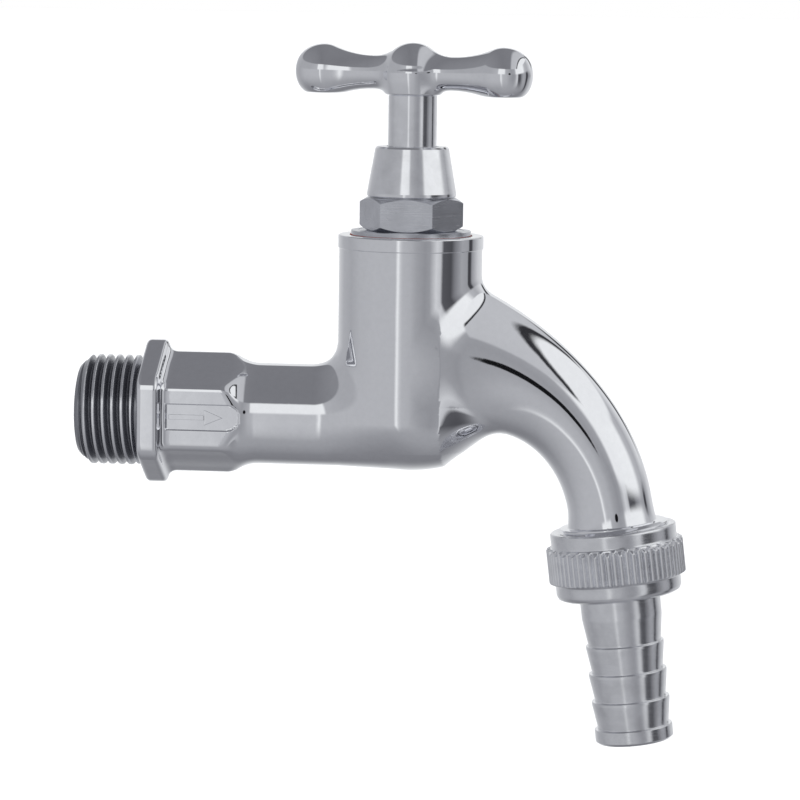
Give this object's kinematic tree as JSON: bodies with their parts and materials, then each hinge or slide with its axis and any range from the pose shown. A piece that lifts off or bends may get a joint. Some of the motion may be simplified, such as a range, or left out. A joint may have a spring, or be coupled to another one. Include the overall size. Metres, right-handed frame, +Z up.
{
  "type": "hose bib",
  "caption": "Wall-mounted hose bib with a screw-down valve, T-handle, curved spout and a barbed hose tail held by a knurled union nut.",
  "frame": {"origin": "centre of the flange's wall face, on the inlet's axis", "axes": "+X away from the wall along the inlet, +Z up along the spindle"},
  "size_m": [0.1159, 0.0274, 0.132],
  "materials": {
    "polished_chrome": "polished",
    "satin_nickel": "turned satin",
    "turned_brass": "turned, chrome plated neck",
    "raw_brass": "machined",
    "steel": "machined",
    "fibre": "vulcanised fibre",
    "black_rubber": "moulded",
    "graphite_packing": "braided, graphited"
  },
  "bodies": {
    "housing": {"valve_body": "polished_chrome", "bonnet_gasket": "fibre", "bonnet": "satin_nickel", "packing_washer": "raw_brass", "packing_ring_lower": "graphite_packing", "packing_ring_middle": "graphite_packing", "packing_ring_upper": "graphite_packing", "gland_follower": "raw_brass", "gland_cap": "polished_chrome"},
    "jumper": {"jumper": "raw_brass", "jumper_clip": "steel", "seat_washer": "black_rubber", "washer_retainer": "raw_brass", "washer_nut": "raw_brass"},
    "spindle": {"spindle": "turned_brass", "handle": "polished_chrome", "handle_screw": "steel"},
    "tail": {"hose_tail": "satin_nickel", "tail_washer": "black_rubber"},
    "union_nut": {"union_nut": "satin_nickel"}
  },
  "joints": [
    {"name": "jumper_lift", "type": "slide", "parent": "housing", "child": "jumper", "axis": [0, 0, 1], "range_m": [0, 0.00625]},
    {"name": "handle_turn", "type": "hinge", "parent": "jumper", "child": "spindle", "pos_m": [0.05015, 0, 0.06], "axis": [0, 0, 1], "range_deg": [0, 900]},
    {"name": "tail_withdraw", "type": "slide", "parent": "housing", "child": "tail", "axis": [0.1236, 0, -0.9923], "range_m": [0, 0.00816]},
    {"name": "nut_turn", "type": "hinge", "parent": "tail", "child": "union_nut", "pos_m": [0.08999, 0, -0.02578], "axis": [0.1236, 0, -0.9923], "range_deg": [0, 1620]}
  ],
  "couplings": [
    {"joint": "jumper_lift", "follows": "handle_turn", "m_per_rad": 0.00039789},
    {"joint": "tail_withdraw", "follows": "nut_turn", "m_per_rad": 0.00028871}
  ]
}
